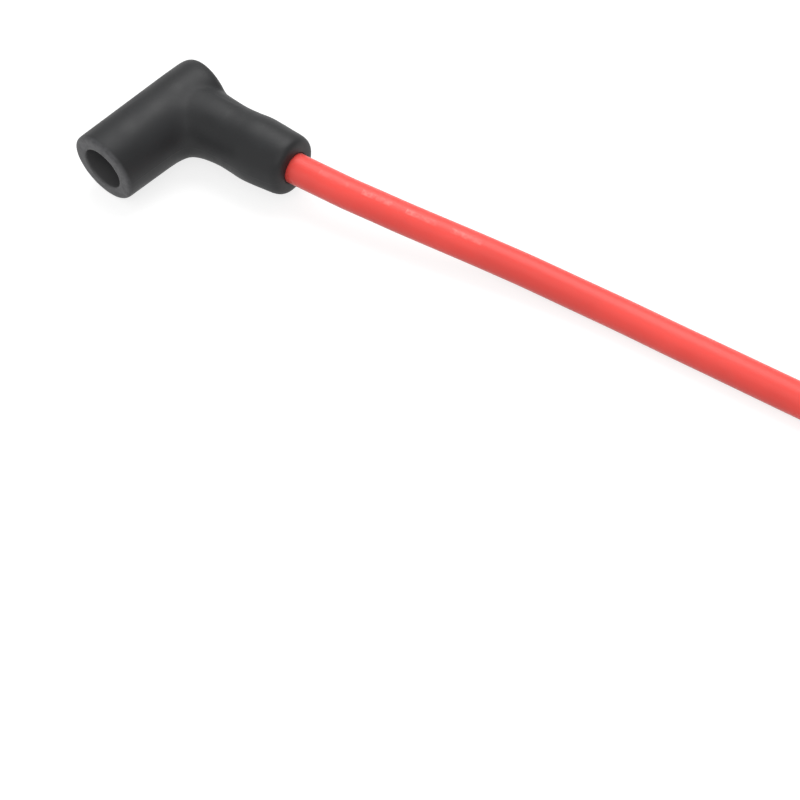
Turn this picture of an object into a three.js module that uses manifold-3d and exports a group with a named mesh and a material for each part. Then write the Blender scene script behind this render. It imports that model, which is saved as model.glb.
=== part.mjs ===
// An ignition lead for a car engine: a red 8 mm wire with a right-angle rubber boot on the
// spark plug end and a straight rubber boot on the distributor cap end.
// It lies on a flat surface, and the spare length of the wire is coiled and tied.
// Millimetres, +Z up. The origin is under the middle of the right-angle boot's outline.
// The boot's two arms cross at "the elbow". The socket arm points to -Y.

import * as THREE from 'three';
import { mergeVertices } from 'three/addons/utils/BufferGeometryUtils.js';
import Module from 'manifold-3d';

const wasm = await Module();
wasm.setup();

// Driving dimensions

// Faces round a turned or moulded surface
const ROUND_SIDES = 32;
const COIL_SIDES = 48;

// Wire
const WIRE_DIAMETER = 8;
const WIRE_SIDES = 12;
const WIRE_STEP = 20;
const TOUCH_GAP = 0.3;
const REST_GAP = 0.02;

// Right-angle plug boot, measured from the elbow along each arm
const BOOT_ANGLE = 97;
const SOCKET_LENGTH = 27.8;
const SOCKET_BACK = 10;
const SOCKET_MOUTH_DIAMETER = 19.1;
const SOCKET_DIAMETER = 20;
const SOCKET_EDGE_ROUND = 1;
const SOCKET_BACK_ROUND = 3.2;
const ARM_LENGTH = 36.5;
const ARM_ROOT_DIAMETER = 17.6;
const ARM_WAIST_DIAMETER = 16.6;
const ARM_WAIST_AT = 17;
const ARM_SWELL_DIAMETER = 17.4;
const ARM_SWELL_AT = 24.5;
const ARM_LIP_DIAMETER = 16;
const ARM_LIP_ROUND = 2.4;
const ELBOW_BEND = 16.5;
const ELBOW_INSET = 0.35;
const PLUG_BORE_DIAMETER = 12.2;
const PLUG_BORE_DEPTH = 14;
const BORE_CHAMFER = 0.5;

// Snap terminal, one stamped and rolled sheet
const SHEET = 0.55;
const POST_DIAMETER = 6.7;
const SNAP_LENGTH = 10;
const SNAP_SLIT = 0.8;
const SNAP_SETBACK = 7;
const CRIMP_LENGTH = 9;
const CRIMP_SETBACK = 5.2;
const CRIMP_SLIT = 1.2;
const STRAP_SHEET = 0.45;
const STRAP_WIDTH = 3.2;
const STRAP_BEND = 0.9;
const STRAP_LAP = 3;
const SPRING_WIRE = 0.9;
const SPRING_OPENING = 3.3;
const TERMINAL_CLEARANCE = 0.35;

// Straight cap boot, measured from its wire end
const CAP_BOOT_LENGTH = 62;
const CAP_REAR_DIAMETER = 14.4;
const CAP_BODY_DIAMETER = 16.6;
const CAP_MOUTH_DIAMETER = 20;
const CAP_SHOULDER_AT = 30;
const CAP_SHOULDER_LENGTH = 9;
const CAP_REAR_ROUND = 2;
const CAP_EDGE_ROUND = 1.2;
const CAP_BORE_DIAMETER = 13.6;
const CAP_BORE_DEPTH = 20;
const CAP_RIB_HEIGHT = 0.9;
const CAP_RIB_WIDTH = 2.6;
const CAP_RIB_PITCH = 5;
const CAP_RIB_COUNT = 3;
const CAP_RIBS_FROM = 9;

// Coil and its tie
const COIL_MEAN_DIAMETER = 80;
const COIL_TURNS_ACROSS = 2;
const COIL_CENTRE_X = 258;
const COIL_CENTRE_Y = -3.6;
const TAIL_BEND_RADIUS = 30;
const TAIL_STRAIGHT = 2;
const TIE_WIDTH = 4.4;
const TIE_THICKNESS = 1.2;
const TIE_CORNER = 2.6;
const TIE_HEAD_LENGTH = 6;
const TIE_HEAD_HEIGHT = 3.6;
const TIE_HEAD_WIDTH = 6.4;
const TIE_END_LENGTH = 5;

// Sizes that follow

const wireRadius = WIRE_DIAMETER / 2;
const lean = THREE.MathUtils.degToRad(BOOT_ANGLE - 90);
const axisHeight = SOCKET_DIAMETER / 2;
const snapInside = POST_DIAMETER / 2;
const snapOutside = snapInside + SHEET;
const springPath = snapOutside + TOUCH_GAP + SPRING_WIRE / 2;
const crimpInside = wireRadius + TOUCH_GAP;
const crimpOutside = crimpInside + SHEET;
const snapBoreRadius = springPath + SPRING_WIRE / 2 + TERMINAL_CLEARANCE;
const strapReach = Math.hypot(crimpOutside, STRAP_WIDTH / 2);
const crimpBoreRadius = strapReach + TERMINAL_CLEARANCE;
const crimpFrom = snapOutside + CRIMP_SETBACK - SHEET;
const crimpTo = crimpFrom + CRIMP_LENGTH;
const cableBoreRadius = wireRadius + TOUCH_GAP;
const wireEndSetback = crimpFrom - TOUCH_GAP;
const coilInnerRadius = COIL_MEAN_DIAMETER / 2 - (COIL_TURNS_ACROSS / 2) * WIRE_DIAMETER;
const coilOuterRadius = COIL_MEAN_DIAMETER / 2 + (COIL_TURNS_ACROSS / 2) * WIRE_DIAMETER;
const coilEntryRadius = coilOuterRadius - wireRadius;
const coilLastRadius = coilInnerRadius + wireRadius;

// Materials

function material(color, roughness, metalness) {
  return new THREE.MeshStandardMaterial({ color, roughness, metalness });
}

const bootRubber = material(0x3f3f42, 0.62, 0);
const wireSilicone = material(0xef4f4b, 0.45, 0);
const stampedSteel = material(0xb9bbbd, 0.32, 1);
const springSteel = material(0x8f9296, 0.28, 1);
const tieNylon = material(0x1c1c1e, 0.5, 0);

// Geometry helpers

// Turns the faces of a closed mesh outward, whichever way it was made.
function faceOutward(geometry) {
  const index = geometry.index.array;
  const position = geometry.attributes.position;
  const a = new THREE.Vector3();
  const b = new THREE.Vector3();
  const c = new THREE.Vector3();
  let volume = 0;
  for (let i = 0; i < index.length; i += 3) {
    a.fromBufferAttribute(position, index[i]);
    b.fromBufferAttribute(position, index[i + 1]);
    c.fromBufferAttribute(position, index[i + 2]);
    volume += a.dot(b.cross(c)) / 6;
  }
  if (volume < 0) {
    for (let i = 0; i < index.length; i += 3) {
      const second = index[i + 1];
      index[i + 1] = index[i + 2];
      index[i + 2] = second;
    }
  }
  return geometry;
}

// Joins the shared corners of a three.js geometry and faces it outward.
function closed(geometry) {
  const bare = new THREE.BufferGeometry();
  bare.setAttribute('position', geometry.attributes.position.clone());
  if (geometry.index) bare.setIndex(geometry.index.clone());
  const joined = mergeVertices(bare, 1e-4);
  const kept = [];
  const index = joined.index.array;
  for (let i = 0; i < index.length; i += 3) {
    const [p, q, r] = [index[i], index[i + 1], index[i + 2]];
    if (p !== q && q !== r && r !== p) kept.push(p, q, r);
  }
  joined.setIndex(kept);
  return faceOutward(joined);
}

function toManifold(geometry) {
  const joined = closed(geometry);
  return new wasm.Manifold(new wasm.Mesh({
    numProp: 3,
    vertProperties: new Float32Array(joined.attributes.position.array),
    triVerts: new Uint32Array(joined.index.array),
  }));
}

function fromManifold(manifold) {
  const mesh = manifold.getMesh();
  const geometry = new THREE.BufferGeometry();
  geometry.setAttribute('position', new THREE.BufferAttribute(mesh.vertProperties, 3));
  geometry.setIndex(new THREE.BufferAttribute(mesh.triVerts, 1));
  return geometry;
}

function union(...geometries) {
  return geometries.map(toManifold).reduce((whole, next) => whole.add(next));
}

// A revolve about the Y axis of a profile whose points are (radius, height).
function revolve(path, divisions) {
  return new THREE.LatheGeometry(path.getPoints(divisions), ROUND_SIDES);
}

// A plain bar along +Y from one height to the other, to cut bores with.
function bar(radius, from, to) {
  const geometry = new THREE.CylinderGeometry(radius, radius, to - from, ROUND_SIDES);
  return geometry.translate(0, (from + to) / 2, 0);
}

// A cone frustum along +Y, to cut lead-in chamfers with.
function cone(radiusFrom, radiusTo, from, to) {
  const geometry = new THREE.CylinderGeometry(radiusTo, radiusFrom, to - from, ROUND_SIDES);
  return geometry.translate(0, (from + to) / 2, 0);
}

// Turns a piece that was made along +Y to the direction of the cable arm.
function alongArm(geometry) {
  return geometry.rotateZ(lean - Math.PI / 2);
}

// A round section that is swept along a flat curve, with a radius that may change.
function sweep(curve, radiusAt, steps, sides) {
  const positions = [];
  const index = [];
  for (let i = 0; i <= steps; i += 1) {
    const centre = curve.getPointAt(i / steps);
    const along = curve.getTangentAt(i / steps);
    const across = new THREE.Vector3(-along.y, along.x, 0);
    const radius = radiusAt(i / steps);
    for (let j = 0; j < sides; j += 1) {
      const turn = (2 * Math.PI * j) / sides;
      positions.push(
        centre.x + across.x * radius * Math.cos(turn),
        centre.y + across.y * radius * Math.cos(turn),
        centre.z + radius * Math.sin(turn),
      );
    }
  }
  for (let i = 0; i < steps; i += 1) {
    for (let j = 0; j < sides; j += 1) {
      const next = (j + 1) % sides;
      const a = i * sides + j;
      const b = i * sides + next;
      index.push(a, b, a + sides, b, b + sides, a + sides);
    }
  }
  const last = steps * sides;
  for (let j = 1; j < sides - 1; j += 1) {
    index.push(0, j + 1, j, last, last + j, last + j + 1);
  }
  const geometry = new THREE.BufferGeometry();
  geometry.setAttribute('position', new THREE.Float32BufferAttribute(positions, 3));
  geometry.setIndex(index);
  return geometry;
}

// A solid round bar of constant section along a curve in space.
function cord(curve, radius, sides, steps) {
  const section = new THREE.Shape();
  for (let j = 0; j < sides; j += 1) {
    const turn = (2 * Math.PI * j) / sides;
    if (j === 0) section.moveTo(radius, 0);
    else section.lineTo(radius * Math.cos(turn), radius * Math.sin(turn));
  }
  section.closePath();
  return new THREE.ExtrudeGeometry(section, { steps, curveSegments: 1, extrudePath: curve });
}

// A rolled sheet tube with a slit along it, drawn as an open ring and extruded.
function rolledTube(inside, outside, slit, length, slitTurn) {
  const half = Math.asin(slit / 2 / inside);
  const halfOut = Math.asin(slit / 2 / outside);
  const shape = new THREE.Shape();
  shape.absarc(0, 0, outside, slitTurn + halfOut, slitTurn + 2 * Math.PI - halfOut, false);
  shape.absarc(0, 0, inside, slitTurn + 2 * Math.PI - half, slitTurn + half, true);
  shape.closePath();
  return new THREE.ExtrudeGeometry(shape, { depth: length, bevelEnabled: false, curveSegments: 24 });
}

// A flat strip of sheet that follows a centre line in the XY plane, STRAP_WIDTH wide in Z.
function strap(points) {
  const left = [];
  const right = [];
  points.forEach((point, i) => {
    const before = points[Math.max(i - 1, 0)];
    const after = points[Math.min(i + 1, points.length - 1)];
    const along = after.clone().sub(before).normalize();
    const across = new THREE.Vector2(-along.y, along.x).multiplyScalar(STRAP_SHEET / 2);
    left.push(point.clone().add(across));
    right.push(point.clone().sub(across));
  });
  const shape = new THREE.Shape([...left, ...right.reverse()]);
  const geometry = new THREE.ExtrudeGeometry(shape, { depth: STRAP_WIDTH, bevelEnabled: false });
  return geometry.translate(0, 0, -STRAP_WIDTH / 2);
}

const model = new THREE.Group();

function addPiece(parent, name, geometry, finish) {
  const mesh = new THREE.Mesh(closed(geometry), finish);
  mesh.name = name;
  parent.add(mesh);
  return mesh;
}

// Right-angle plug boot

function socketArm() {
  const mouth = SOCKET_MOUTH_DIAMETER / 2;
  const full = SOCKET_DIAMETER / 2;
  const edge = SOCKET_EDGE_ROUND;
  const back = SOCKET_BACK_ROUND;
  const path = new THREE.Path();
  path.moveTo(0, -SOCKET_LENGTH);
  path.lineTo(mouth - edge, -SOCKET_LENGTH);
  path.absarc(mouth - edge, edge - SOCKET_LENGTH, edge, -Math.PI / 2, 0, false);
  path.lineTo(full, -full);
  path.lineTo(full, SOCKET_BACK - back);
  path.absarc(full - back, SOCKET_BACK - back, back, 0, Math.PI / 2, false);
  path.lineTo(0, SOCKET_BACK);
  return path;
}

function cableArm() {
  const lip = ARM_LIP_DIAMETER / 2;
  const path = new THREE.Path();
  path.moveTo(0, 0);
  path.lineTo(ARM_ROOT_DIAMETER / 2, 0);
  path.splineThru([
    new THREE.Vector2(ARM_ROOT_DIAMETER / 2, SOCKET_DIAMETER / 2),
    new THREE.Vector2(ARM_WAIST_DIAMETER / 2, ARM_WAIST_AT),
    new THREE.Vector2(ARM_SWELL_DIAMETER / 2, ARM_SWELL_AT),
    new THREE.Vector2(lip, ARM_LENGTH - ARM_LIP_ROUND),
  ]);
  path.absarc(lip - ARM_LIP_ROUND, ARM_LENGTH - ARM_LIP_ROUND, ARM_LIP_ROUND, 0, Math.PI / 2, false);
  path.lineTo(0, ARM_LENGTH);
  return path;
}

// The moulded bend that rounds off the inside corner between the two arms.
function elbow() {
  const reach = ELBOW_BEND * Math.tan((Math.PI / 2 - lean) / 2);
  const centre = new THREE.Vector3(ELBOW_BEND, -reach, 0);
  const points = [];
  const bends = 8;
  for (let i = 0; i <= bends; i += 1) {
    const turn = Math.PI - (i / bends) * (Math.PI / 2 - lean);
    points.push(new THREE.Vector3(
      centre.x + ELBOW_BEND * Math.cos(turn),
      centre.y + ELBOW_BEND * Math.sin(turn),
      0,
    ));
  }
  const from = SOCKET_DIAMETER / 2 - ELBOW_INSET;
  const to = ARM_WAIST_DIAMETER / 2 - ELBOW_INSET;
  return sweep(new THREE.CatmullRomCurve3(points), (t) => from + (to - from) * t, 10, ROUND_SIDES);
}

function plugBoot() {
  const outside = union(revolve(socketArm(), 2), elbow(), alongArm(revolve(cableArm(), 3)));
  const mouth = -SOCKET_LENGTH;
  const boreEnd = mouth + PLUG_BORE_DEPTH;
  const plugRadius = PLUG_BORE_DIAMETER / 2;
  const inside = union(
    bar(plugRadius, mouth - 1, boreEnd),
    cone(plugRadius + BORE_CHAMFER, plugRadius, mouth - 0.001, mouth + BORE_CHAMFER),
    bar(snapBoreRadius, boreEnd - 1, crimpBoreRadius),
    alongArm(bar(crimpBoreRadius, 0, crimpTo + 1)),
    alongArm(bar(cableBoreRadius, crimpTo, ARM_LENGTH + 1)),
  );
  return fromManifold(outside.subtract(inside));
}

// The outline of the boot on the surface gives the origin.
const armOutline = cableArm().getPoints(3);
const bootRight = Math.max(...armOutline.map((p) => p.y * Math.cos(lean) + p.x * Math.sin(lean)));
const armTop = Math.max(...armOutline.map((p) => p.y * Math.sin(lean) + p.x * Math.cos(lean)));
const elbowPlace = new THREE.Vector3(
  (SOCKET_DIAMETER / 2 - bootRight) / 2,
  (SOCKET_LENGTH - Math.max(armTop, SOCKET_BACK)) / 2,
  axisHeight,
);

const plugEnd = new THREE.Group();
plugEnd.position.copy(elbowPlace);
model.add(plugEnd);
addPiece(plugEnd, 'plug_boot', plugBoot(), bootRubber);

// Snap terminals

// The snap socket opens to -Y, and its back edge is at SNAP_SETBACK below the elbow.
function snapSocket() {
  const tube = rolledTube(snapInside, snapOutside, SNAP_SLIT, SNAP_LENGTH, Math.PI);
  tube.rotateX(Math.PI / 2);
  tube.translate(0, -SNAP_SETBACK, 0);
  return tube;
}

const springHeight = -SNAP_SETBACK - SNAP_LENGTH / 2;
const slotReach = springPath + SPRING_WIRE;
const slotFrom = -snapOutside * 0.6;

// The two slots that let the spring's legs through the wall of the snap socket.
function springSlots() {
  const height = SPRING_WIRE + 2 * TOUCH_GAP;
  const low = SPRING_OPENING - SPRING_WIRE / 2 - 2 * TOUCH_GAP;
  const slots = [1, -1].map((side) => {
    const box = new THREE.BoxGeometry(slotReach - slotFrom, height, slotReach - low);
    return box.translate(
      (slotReach + slotFrom) / 2,
      springHeight,
      (side * (slotReach + low)) / 2,
    );
  });
  return union(...slots);
}

// A bent spring wire: it goes round the back of the socket, and both legs pass through the
// slots, where they snap into the neck of the terminal post.
function snapSpring() {
  const points = [
    new THREE.Vector3(snapInside * 0.85, springHeight, SPRING_OPENING),
    new THREE.Vector3(snapInside * 0.35, springHeight, SPRING_OPENING),
  ];
  const arcs = 9;
  for (let i = 0; i <= arcs; i += 1) {
    const turn = Math.PI * 0.62 + (i / arcs) * Math.PI * 0.76;
    points.push(new THREE.Vector3(
      springPath * Math.cos(turn),
      springHeight,
      springPath * Math.sin(turn),
    ));
  }
  points.push(new THREE.Vector3(snapInside * 0.35, springHeight, -SPRING_OPENING));
  points.push(new THREE.Vector3(snapInside * 0.85, springHeight, -SPRING_OPENING));
  return cord(new THREE.CatmullRomCurve3(points), SPRING_WIRE / 2, 8, 36);
}

// The crimp barrel lies along +Y from its wire-end setback, with its seam on the -X side.
function crimpBarrel() {
  const tube = rolledTube(crimpInside, crimpOutside, CRIMP_SLIT, CRIMP_LENGTH, Math.PI);
  tube.rotateX(Math.PI / 2);
  return tube.translate(0, CRIMP_LENGTH, 0);
}

const sheetMiddle = SHEET / 2;

function rightAngleTerminal() {
  // The strap rises from the +X wall of the socket and turns to run under the crimp.
  const down = new THREE.Vector2(Math.sin(lean), -Math.cos(lean));
  const along = new THREE.Vector2(Math.cos(lean), Math.sin(lean));
  const floor = crimpOutside - sheetMiddle;
  const wall = snapOutside - sheetMiddle;
  const cornerAlong = (wall - floor * down.x) / along.x;
  const corner = down.clone().multiplyScalar(floor).addScaledVector(along, cornerAlong);
  const points = [new THREE.Vector2(wall, -SNAP_SETBACK - STRAP_LAP)];
  const bends = 4;
  for (let i = 0; i <= bends; i += 1) {
    const t = i / bends;
    const start = new THREE.Vector2(corner.x, corner.y - STRAP_BEND);
    const end = corner.clone().addScaledVector(along, STRAP_BEND);
    const bend = start.multiplyScalar((1 - t) ** 2);
    bend.addScaledVector(corner, 2 * t * (1 - t)).addScaledVector(end, t ** 2);
    points.push(bend);
  }
  points.push(down.clone().multiplyScalar(floor).addScaledVector(along, crimpFrom + STRAP_LAP));
  const barrel = alongArm(crimpBarrel().translate(0, crimpFrom, 0));
  return fromManifold(union(snapSocket(), strap(points), barrel).subtract(springSlots()));
}

// On the straight terminal the crimp stands in line behind the snap socket.
const straightCrimpFrom = CRIMP_SETBACK - SNAP_SETBACK;

function straightTerminal() {
  const floor = crimpOutside - sheetMiddle;
  const wall = snapOutside - sheetMiddle;
  const points = [
    new THREE.Vector2(wall, -SNAP_SETBACK - STRAP_LAP),
    new THREE.Vector2(wall, -SNAP_SETBACK + 1),
    new THREE.Vector2(floor, straightCrimpFrom - 1),
    new THREE.Vector2(floor, straightCrimpFrom + STRAP_LAP),
  ];
  const barrel = crimpBarrel().translate(0, straightCrimpFrom, 0);
  return fromManifold(union(snapSocket(), strap(points), barrel).subtract(springSlots()));
}

addPiece(plugEnd, 'plug_terminal', rightAngleTerminal(), stampedSteel);
addPiece(plugEnd, 'plug_terminal_spring', snapSpring(), springSteel);

// Wire from the plug boot to the coil

// The route is given from the elbow, with its height from the surface.
const armPoint = (distance) => new THREE.Vector3(
  distance * Math.cos(lean),
  distance * Math.sin(lean),
  axisHeight,
);
const rest = wireRadius + REST_GAP;
const leadRoute = [
  armPoint(wireEndSetback),
  armPoint(20),
  armPoint(ARM_LENGTH),
  new THREE.Vector3(44.5, 5.9, 9.85),
  new THREE.Vector3(51.7, 7.4, 9.5),
  new THREE.Vector3(58.5, 9.2, 9.05),
  new THREE.Vector3(65.2, 11, 8.5),
  new THREE.Vector3(71.8, 12.9, 7.95),
  new THREE.Vector3(78.3, 14.9, 7.3),
  new THREE.Vector3(84.6, 16.8, 6.7),
  new THREE.Vector3(91, 18.7, 6.05),
  new THREE.Vector3(97.5, 20.5, 5.5),
  new THREE.Vector3(110.3, 23.6, 4.55),
  new THREE.Vector3(123.3, 26.3, 4.12),
  new THREE.Vector3(136.2, 28.5, rest),
  new THREE.Vector3(149, 30.7, rest),
  new THREE.Vector3(162, 32.9, rest),
  new THREE.Vector3(176, 35.3, rest),
  new THREE.Vector3(190, 37.5, rest),
  new THREE.Vector3(205, 39.2, rest),
  new THREE.Vector3(220, 40.2, rest),
];
const coilCentre = new THREE.Vector3(COIL_CENTRE_X, COIL_CENTRE_Y, 0);
const meetCoil = Math.sqrt(
  (coilOuterRadius + TOUCH_GAP) ** 2 - (coilEntryRadius - wireRadius) ** 2,
);
leadRoute.push(new THREE.Vector3(
  coilCentre.x - meetCoil,
  coilCentre.y + coilEntryRadius,
  rest,
));

const wireGroup = new THREE.Group();
wireGroup.position.set(elbowPlace.x, elbowPlace.y, 0);
model.add(wireGroup);

function wirePiece(name, points) {
  const curve = new THREE.CatmullRomCurve3(points);
  const steps = Math.ceil(curve.getLength() / WIRE_STEP) + points.length;
  addPiece(wireGroup, name, cord(curve, wireRadius, WIRE_SIDES, steps), wireSilicone);
}

wirePiece('wire_lead', leadRoute);

// Coil: two turns side by side, as one ring with rounded edges

function coilRing() {
  const round = wireRadius * 0.9;
  const path = new THREE.Path();
  path.moveTo(coilInnerRadius + round, 0);
  path.lineTo(coilOuterRadius - round, 0);
  path.absarc(coilOuterRadius - round, round, round, -Math.PI / 2, 0, false);
  path.lineTo(coilOuterRadius, WIRE_DIAMETER - round);
  path.absarc(coilOuterRadius - round, WIRE_DIAMETER - round, round, 0, Math.PI / 2, false);
  path.lineTo(coilInnerRadius + round, WIRE_DIAMETER);
  path.absarc(coilInnerRadius + round, WIRE_DIAMETER - round, round, Math.PI / 2, Math.PI, false);
  path.lineTo(coilInnerRadius, round);
  path.absarc(coilInnerRadius + round, round, round, Math.PI, 1.5 * Math.PI, false);
  const ring = new THREE.LatheGeometry(path.getPoints(2), COIL_SIDES).rotateX(Math.PI / 2);
  const grooveDepth = TIE_THICKNESS + TOUCH_GAP;
  const groove = new THREE.BoxGeometry(
    coilOuterRadius - coilInnerRadius + WIRE_DIAMETER,
    TIE_WIDTH + 2 * TOUCH_GAP,
    2 * grooveDepth,
  );
  groove.translate(COIL_MEAN_DIAMETER / 2, 0, 0);
  return fromManifold(union(ring).subtract(union(groove)));
}

const coilGroup = new THREE.Group();
coilGroup.position.copy(coilCentre);
wireGroup.add(coilGroup);
addPiece(coilGroup, 'wire_coil', coilRing(), wireSilicone);

// Tie: a strap round both turns, with its head on the outer side

function roundedBox(path, left, right, low, high, corner) {
  path.moveTo(left + corner, low);
  path.lineTo(right - corner, low);
  path.absarc(right - corner, low + corner, corner, -Math.PI / 2, 0, false);
  path.lineTo(right, high - corner);
  path.absarc(right - corner, high - corner, corner, 0, Math.PI / 2, false);
  path.lineTo(left + corner, high);
  path.absarc(left + corner, high - corner, corner, Math.PI / 2, Math.PI, false);
  path.lineTo(left, low + corner);
  path.absarc(left + corner, low + corner, corner, Math.PI, 1.5 * Math.PI, false);
}

function coilTie() {
  const inside = TOUCH_GAP;
  const left = coilInnerRadius - inside;
  const right = coilOuterRadius + inside;
  const low = TIE_THICKNESS;
  const high = low + WIRE_DIAMETER + 2 * inside;
  const outline = new THREE.Shape();
  roundedBox(
    outline,
    left - TIE_THICKNESS,
    right + TIE_THICKNESS,
    low - TIE_THICKNESS,
    high + TIE_THICKNESS,
    TIE_CORNER,
  );
  const hole = new THREE.Path();
  roundedBox(hole, left, right, low, high, TIE_CORNER - TIE_THICKNESS);
  outline.holes.push(hole);
  const band = new THREE.ExtrudeGeometry(outline, {
    depth: TIE_WIDTH,
    bevelEnabled: false,
    curveSegments: 4,
  });
  band.translate(0, 0, -TIE_WIDTH / 2).rotateX(Math.PI / 2);
  const outside = right + TIE_THICKNESS;
  const headMiddle = (low + high) / 2;
  const head = new THREE.BoxGeometry(TIE_HEAD_HEIGHT, TIE_HEAD_WIDTH, TIE_HEAD_LENGTH);
  head.translate(outside + TIE_HEAD_HEIGHT / 2 - TIE_THICKNESS / 2, 0, headMiddle);
  const end = new THREE.BoxGeometry(TIE_END_LENGTH, TIE_WIDTH, TIE_THICKNESS);
  end.translate(outside + TIE_HEAD_HEIGHT + TIE_END_LENGTH / 2 - TIE_THICKNESS, 0, headMiddle);
  return fromManifold(union(band, head, end));
}

addPiece(coilGroup, 'coil_tie', coilTie(), tieNylon);

// Straight cap boot, its terminal and the wire's tail

// The cap boot lies on the coil, with its mouth past the coil's edge.
const tailAcross = coilCentre.y + TAIL_BEND_RADIUS;
const tailBendCentre = coilCentre.x - coilLastRadius + TAIL_BEND_RADIUS;
const overCoil = WIRE_DIAMETER + TOUCH_GAP + wireRadius;
const capAxisHeight = WIRE_DIAMETER + TOUCH_GAP + CAP_MOUTH_DIAMETER / 2;
const capRear = tailBendCentre + TAIL_STRAIGHT;

function capBoot() {
  const cable = cableBoreRadius;
  const rear = CAP_REAR_DIAMETER / 2;
  const body = CAP_BODY_DIAMETER / 2;
  const mouth = CAP_MOUTH_DIAMETER / 2;
  const bore = CAP_BORE_DIAMETER / 2;
  const crimpAt = capCrimpFrom - 1;
  const snapAt = capCrimpFrom + CRIMP_LENGTH;
  const boreAt = CAP_BOOT_LENGTH - CAP_BORE_DEPTH;
  const path = new THREE.Path();
  path.moveTo(cable, 0);
  path.lineTo(rear - CAP_REAR_ROUND, 0);
  path.absarc(rear - CAP_REAR_ROUND, CAP_REAR_ROUND, CAP_REAR_ROUND, -Math.PI / 2, 0, false);
  path.lineTo(rear, CAP_RIBS_FROM - CAP_RIB_PITCH / 2);
  for (let i = 0; i < CAP_RIB_COUNT; i += 1) {
    const middle = CAP_RIBS_FROM + i * CAP_RIB_PITCH;
    const grow = ((body - rear) * i) / CAP_RIB_COUNT;
    const next = ((body - rear) * (i + 1)) / CAP_RIB_COUNT;
    path.lineTo(rear + grow, middle - CAP_RIB_WIDTH / 2);
    path.quadraticCurveTo(
      rear + next + 2 * CAP_RIB_HEIGHT,
      middle,
      rear + next,
      middle + CAP_RIB_WIDTH / 2,
    );
  }
  path.lineTo(body, CAP_SHOULDER_AT);
  path.bezierCurveTo(
    body,
    CAP_SHOULDER_AT + CAP_SHOULDER_LENGTH / 2,
    mouth,
    CAP_SHOULDER_AT + CAP_SHOULDER_LENGTH / 2,
    mouth,
    CAP_SHOULDER_AT + CAP_SHOULDER_LENGTH,
  );
  path.lineTo(mouth, CAP_BOOT_LENGTH - CAP_EDGE_ROUND);
  path.absarc(
    mouth - CAP_EDGE_ROUND,
    CAP_BOOT_LENGTH - CAP_EDGE_ROUND,
    CAP_EDGE_ROUND,
    0,
    Math.PI / 2,
    false,
  );
  path.lineTo(bore + BORE_CHAMFER, CAP_BOOT_LENGTH);
  path.lineTo(bore, CAP_BOOT_LENGTH - BORE_CHAMFER);
  path.lineTo(bore, boreAt);
  path.lineTo(snapBoreRadius, boreAt);
  path.lineTo(snapBoreRadius, snapAt);
  path.lineTo(crimpBoreRadius, snapAt);
  path.lineTo(crimpBoreRadius, crimpAt);
  path.lineTo(cable, crimpAt);
  path.lineTo(cable, 0);
  return revolve(path, 2);
}

// The terminal sits so that the snap socket reaches into the cap bore's inner end.
const capSnapMouth = CAP_BOOT_LENGTH - CAP_BORE_DEPTH + 1;
const capCrimpFrom = capSnapMouth - SNAP_SETBACK - SNAP_LENGTH - straightCrimpFrom - CRIMP_LENGTH;

const capEnd = new THREE.Group();
capEnd.position.set(capRear, tailAcross, capAxisHeight);
capEnd.rotation.z = -Math.PI / 2;
wireGroup.add(capEnd);
addPiece(capEnd, 'cap_boot', capBoot(), bootRubber);

const capTerminal = new THREE.Group();
capTerminal.rotation.z = Math.PI;
capTerminal.position.y = capSnapMouth - SNAP_SETBACK - SNAP_LENGTH;
capEnd.add(capTerminal);
addPiece(capTerminal, 'cap_terminal', straightTerminal(), stampedSteel);
addPiece(capTerminal, 'cap_terminal_spring', snapSpring(), springSteel);

// The tail starts on top of the coil, leaves its last turn inward and rises to the cap boot.
const onCoil = (degrees) => new THREE.Vector3(
  coilCentre.x + coilLastRadius * Math.cos(THREE.MathUtils.degToRad(degrees)),
  coilCentre.y + coilLastRadius * Math.sin(THREE.MathUtils.degToRad(degrees)),
  overCoil,
);
const onBend = (degrees, rise) => new THREE.Vector3(
  tailBendCentre + TAIL_BEND_RADIUS * Math.cos(THREE.MathUtils.degToRad(degrees)),
  coilCentre.y + TAIL_BEND_RADIUS * Math.sin(THREE.MathUtils.degToRad(degrees)),
  overCoil + (capAxisHeight - overCoil) * rise,
);
const wireEndInCap = capCrimpFrom + CRIMP_LENGTH + TOUCH_GAP;
wirePiece('wire_tail', [
  onCoil(206),
  onCoil(193),
  onBend(180, 0.05),
  onBend(157.5, 0.25),
  onBend(135, 0.58),
  onBend(112.5, 0.88),
  onBend(95, 1),
  new THREE.Vector3(capRear, tailAcross, capAxisHeight),
  new THREE.Vector3(capRear + wireEndInCap / 2, tailAcross, capAxisHeight),
  new THREE.Vector3(capRear + wireEndInCap, tailAcross, capAxisHeight),
]);

export default model;
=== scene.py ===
"""Looks of an ignition lead: a red silicone wire, a right-angle plug boot and a straight cap boot.

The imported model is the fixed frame. Metres, +Z up. The "elbow" is the point where the axes of
the right-angle boot's two arms cross, and most places are given from it.
"""

import math

import bmesh
import bpy
from bpy.props import FloatProperty, FloatVectorProperty, IntProperty, PointerProperty
from mathutils import Matrix, Vector


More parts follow.
